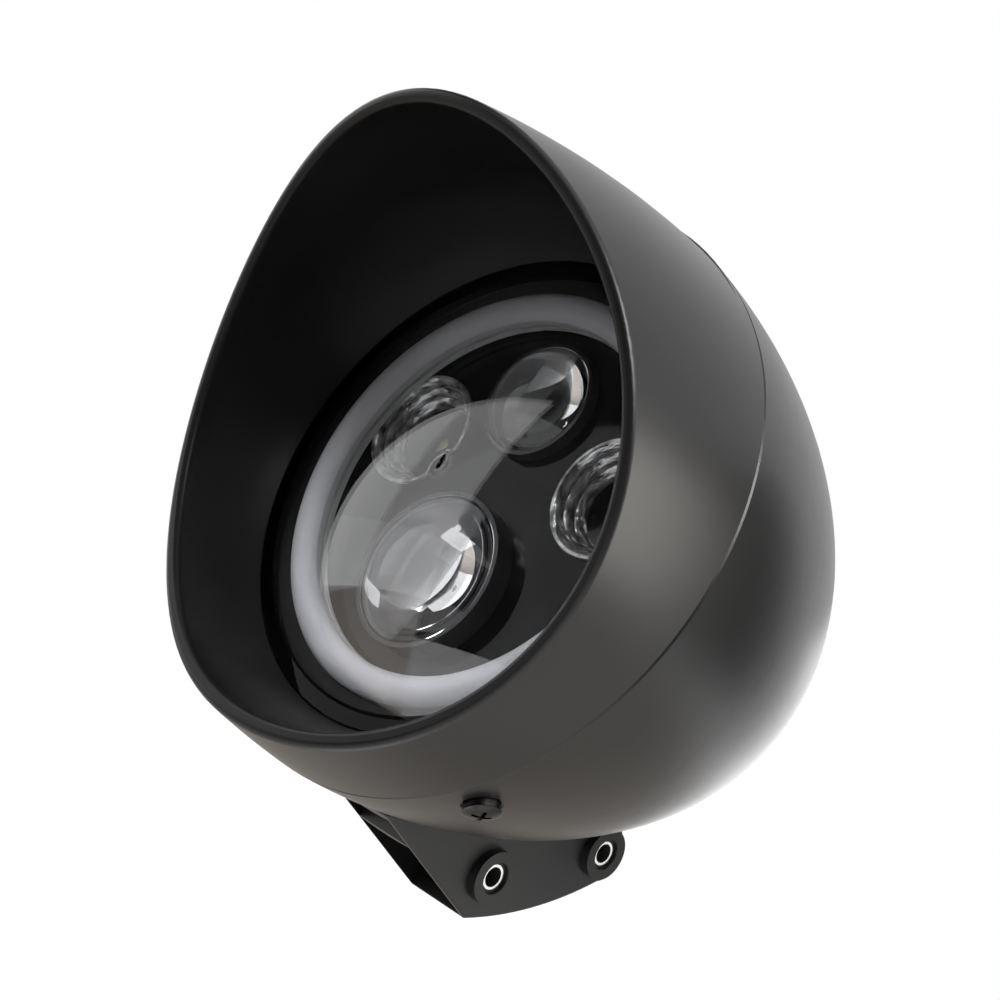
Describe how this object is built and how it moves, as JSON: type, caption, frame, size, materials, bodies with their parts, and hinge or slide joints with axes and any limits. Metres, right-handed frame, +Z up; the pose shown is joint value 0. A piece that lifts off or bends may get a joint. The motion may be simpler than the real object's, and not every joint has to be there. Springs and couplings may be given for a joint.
{
  "type": "motorcycle spotlight",
  "caption": "Bullet-shaped motorcycle spotlight with a long hooded visor, a round LED lamp with a halo ring, and a two-bolt bracket under the bucket.",
  "frame": {"origin": "midway between the two mount bolts, on the bracket's middle plane", "axes": "-Y the way the light shines, +Z up, +X to the rider's left along the mount bolts"},
  "size_m": [0.1726, 0.2152, 0.1852],
  "materials": {
    "visor_bezel": "satin black powder coat",
    "bucket_shell": "satin black powder coat",
    "mount_bracket": "satin black powder coat",
    "mount_sleeves": "bright turned steel",
    "bezel_screws": "black oxide",
    "bracket_bolts": "zinc plated",
    "bracket_washers": "zinc plated",
    "wire_grommet": "soft black rubber",
    "outer_lens": "clear moulded lens",
    "lens_gasket": "black silicone",
    "halo_light_guide": "milky translucent",
    "halo_leds": "phosphor yellow",
    "halo_led_board": "white board",
    "lamp_housing": "black anodised casting",
    "lamp_cable_gland": "black nylon",
    "inner_mask": "gloss black",
    "lower_lens_holder": "gloss black",
    "upper_lens_holder": "gloss black",
    "lower_projector_lens": "clear polished",
    "upper_projector_lens": "clear polished",
    "left_crystal_ring": "clear stepped optic",
    "right_crystal_ring": "clear stepped optic",
    "left_ring_cup": "black",
    "right_ring_cup": "black",
    "led_board": "white coated metal-core board",
    "board_screws": "zinc plated",
    "led_emitters": "phosphor yellow",
    "lamp_retaining_ring": "zinc plated",
    "retaining_ring_screws": "zinc plated"
  },
  "bodies": {
    "root": {"visor_bezel": "visor_bezel", "bucket_shell": "bucket_shell", "mount_bracket": "mount_bracket", "mount_sleeves": "mount_sleeves", "bezel_screws": "bezel_screws", "bracket_bolts": "bracket_bolts", "bracket_washers": "bracket_washers", "wire_grommet": "wire_grommet", "outer_lens": "outer_lens", "lens_gasket": "lens_gasket", "halo_light_guide": "halo_light_guide", "halo_leds": "halo_leds", "halo_led_board": "halo_led_board", "lamp_housing": "lamp_housing", "lamp_cable_gland": "lamp_cable_gland", "inner_mask": "inner_mask", "lower_lens_holder": "lower_lens_holder", "upper_lens_holder": "upper_lens_holder", "lower_projector_lens": "lower_projector_lens", "upper_projector_lens": "upper_projector_lens", "left_crystal_ring": "left_crystal_ring", "right_crystal_ring": "right_crystal_ring", "left_ring_cup": "left_ring_cup", "right_ring_cup": "right_ring_cup", "led_board": "led_board", "board_screws": "board_screws", "led_emitters": "led_emitters", "lamp_retaining_ring": "lamp_retaining_ring", "retaining_ring_screws": "retaining_ring_screws"}
  },
  "joints": []
}
